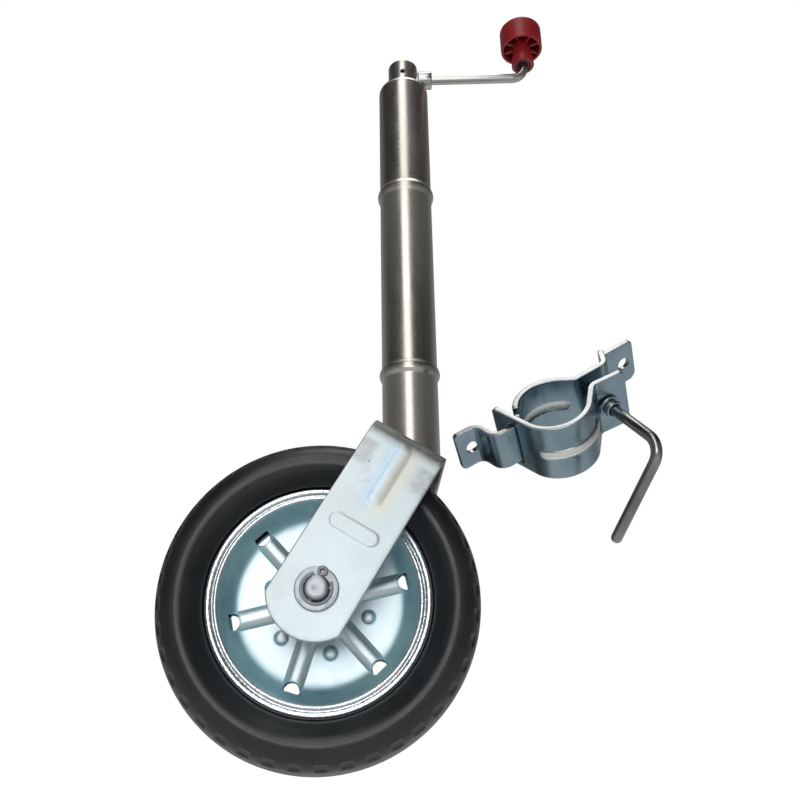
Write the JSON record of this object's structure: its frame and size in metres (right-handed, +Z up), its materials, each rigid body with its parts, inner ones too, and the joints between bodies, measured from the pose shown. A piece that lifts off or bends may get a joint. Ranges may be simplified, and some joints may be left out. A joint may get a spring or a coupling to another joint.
{
  "type": "trailer tongue jack",
  "caption": "Trailer tongue screw jack with a castor wheel: beaded tube, side crank with knob, bent strap fork, solid tyre on a pressed rim, and a separate tube clamp with an L-handle.",
  "frame": {"origin": "on the tube's axis, halfway between its two rolled beads, where the drawbar clamp grips it", "axes": "+Z up along the tube, +X to the side the crank points, the wheel trails towards -X and turns about Y; the camera side is -Y"},
  "size_m": [0.3917, 0.2, 0.7381],
  "materials": {
    "satin_tube": "satin zinc-plated drawn tube, warm grey",
    "bright_steel": "bright plated and turned steel",
    "zinc_fork": "pale blue-silver zinc plate with faint yellow tints",
    "zinc_rim": "bright blue-passivated zinc on pressed sheet",
    "zinc_clamp": "blue-grey passivated zinc on thick strap",
    "dark_steel": "oiled spring steel",
    "tyre_rubber": "black moulded solid rubber, soft sheen",
    "red_plastic": "dark red moulded plastic",
    "black_nylon": "black nylon",
    "brass_nut": "machined bronze"
  },
  "bodies": {
    "tube": {"outer_tube": "satin_tube", "nut_guide_bar": "dark_steel", "lower_guide_bush": "black_nylon", "thrust_bearing": "bright_steel"},
    "crank": {"crank_head": "bright_steel", "head_roll_pin": "dark_steel", "crank_socket": "bright_steel", "crank_rod": "bright_steel", "spindle": "bright_steel", "spindle_collar": "dark_steel", "knob_clip": "dark_steel"},
    "knob": {"knob_bush": "black_nylon", "knob": "red_plastic"},
    "ram": {"spindle_nut": "brass_nut", "swivel_snap_ring": "dark_steel"},
    "castor": {"swivel_washer": "brass_nut", "inner_tube": "bright_steel", "fork_socket": "satin_tube", "fork": "zinc_fork", "axle": "bright_steel", "axle_washer_near": "zinc_fork", "axle_washer_far": "zinc_fork", "axle_clip_near": "dark_steel", "axle_clip_far": "dark_steel", "hub_spacer_near": "bright_steel", "hub_spacer_far": "bright_steel"},
    "wheel": {"hub_tube": "bright_steel", "hub_bush_near": "black_nylon", "hub_bush_far": "black_nylon", "rim_half_near": "zinc_rim", "rim_half_far": "zinc_rim", "rim_rivet_1": "zinc_rim", "rim_rivet_2": "zinc_rim", "rim_rivet_3": "zinc_rim", "rim_rivet_4": "zinc_rim", "rim_rivet_5": "zinc_rim", "rim_rivet_6": "zinc_rim", "tyre": "tyre_rubber"},
    "clamp": {"clamp_back_half": "zinc_clamp", "clamp_nut": "zinc_clamp"},
    "clamp_front": {"clamp_front_half": "zinc_clamp"},
    "clamp_push": {"clamp_washer": "zinc_clamp"},
    "clamp_screw": {"handle_collar": "zinc_clamp", "clamp_handle": "bright_steel"}
  },
  "joints": [
    {"name": "crank_turn", "type": "hinge", "parent": "tube", "child": "crank", "pos_m": [0, 0, 0.24], "axis": [0, 0, -1], "range_deg": [0, 16200]},
    {"name": "knob_spin", "type": "hinge", "parent": "crank", "child": "knob", "pos_m": [0.12679, -0.00731, 0.28], "axis": [0, 0, 1], "continuous": true},
    {"name": "ram_slide", "type": "slide", "parent": "tube", "child": "ram", "axis": [0, 0, -1], "range_m": [0, 0.18]},
    {"name": "fork_swivel", "type": "hinge", "parent": "ram", "child": "castor", "pos_m": [0, 0, -0.15], "axis": [0, 0, 1], "range_deg": [-165, 45]},
    {"name": "wheel_spin", "type": "hinge", "parent": "castor", "child": "wheel", "pos_m": [-0.077, 0, -0.29675], "axis": [0, 1, 0], "continuous": true},
    {"name": "clamp_carry", "type": "slide", "parent": "tube", "child": "clamp", "axis": [1, 0, 0], "range_m": [0, 0.1]},
    {"name": "clamp_front_swing", "type": "hinge", "parent": "clamp", "child": "clamp_front", "pos_m": [0.07835, -0.08571, -0.18899], "axis": [-0.2823, -0.8249, 0.4898], "range_deg": [0, 4.64]},
    {"name": "clamp_screw_travel", "type": "slide", "parent": "clamp", "child": "clamp_push", "axis": [-0.3978, 0.5653, 0.7227], "range_m": [0, 0.006]},
    {"name": "clamp_handle_turn", "type": "hinge", "parent": "clamp_push", "child": "clamp_screw", "pos_m": [0.14601, -0.08951, -0.15639], "axis": [-0.3978, 0.5653, 0.7227], "range_deg": [0, 1440]}
  ],
  "couplings": [
    {"joint": "ram_slide", "follows": "crank_turn", "m_per_rad": 0.0006366},
    {"joint": "clamp_screw_travel", "follows": "clamp_handle_turn", "m_per_rad": 0.0002387},
    {"joint": "clamp_front_swing", "follows": "clamp_handle_turn", "ratio": 0.0031865}
  ]
}
